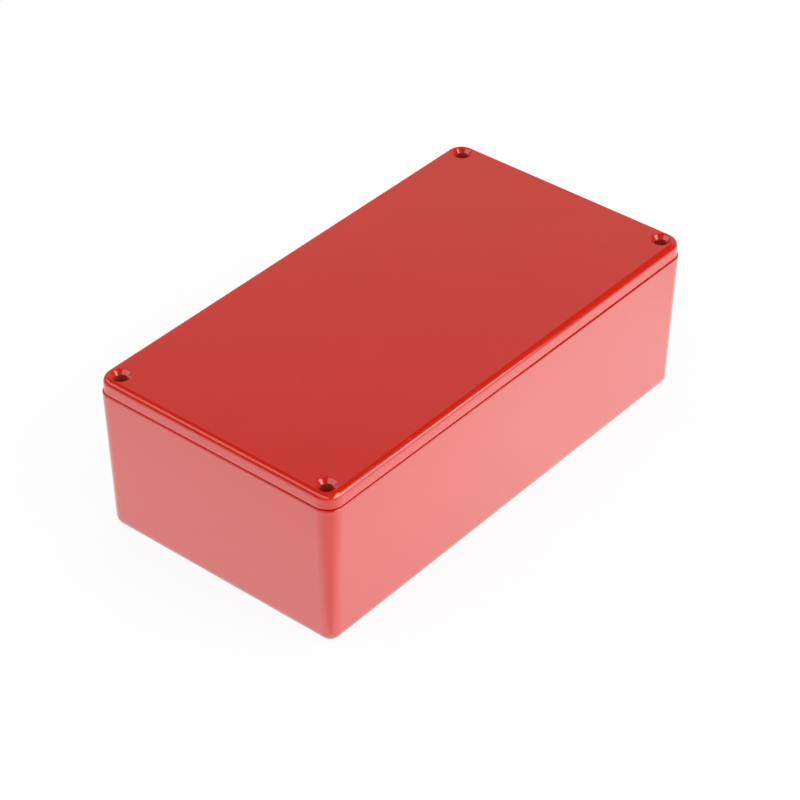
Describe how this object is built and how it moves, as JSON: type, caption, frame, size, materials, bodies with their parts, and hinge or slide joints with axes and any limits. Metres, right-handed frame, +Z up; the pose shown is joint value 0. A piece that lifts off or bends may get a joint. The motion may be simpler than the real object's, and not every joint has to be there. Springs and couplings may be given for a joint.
{
  "type": "die cast enclosure",
  "caption": "Rectangular die cast aluminium enclosure with drafted walls, rounded edges and a lap-jointed lid with countersunk screw holes, painted red, for housing circuits.",
  "frame": {"origin": "centre of the underside", "axes": "+X along the length, +Y across the width, +Z up out of the lid"},
  "size_m": [0.153, 0.082, 0.05],
  "materials": {
    "red_paint": "glossy red stove paint"
  },
  "bodies": {
    "root": {"base": "red_paint", "lid": "red_paint"}
  },
  "joints": []
}
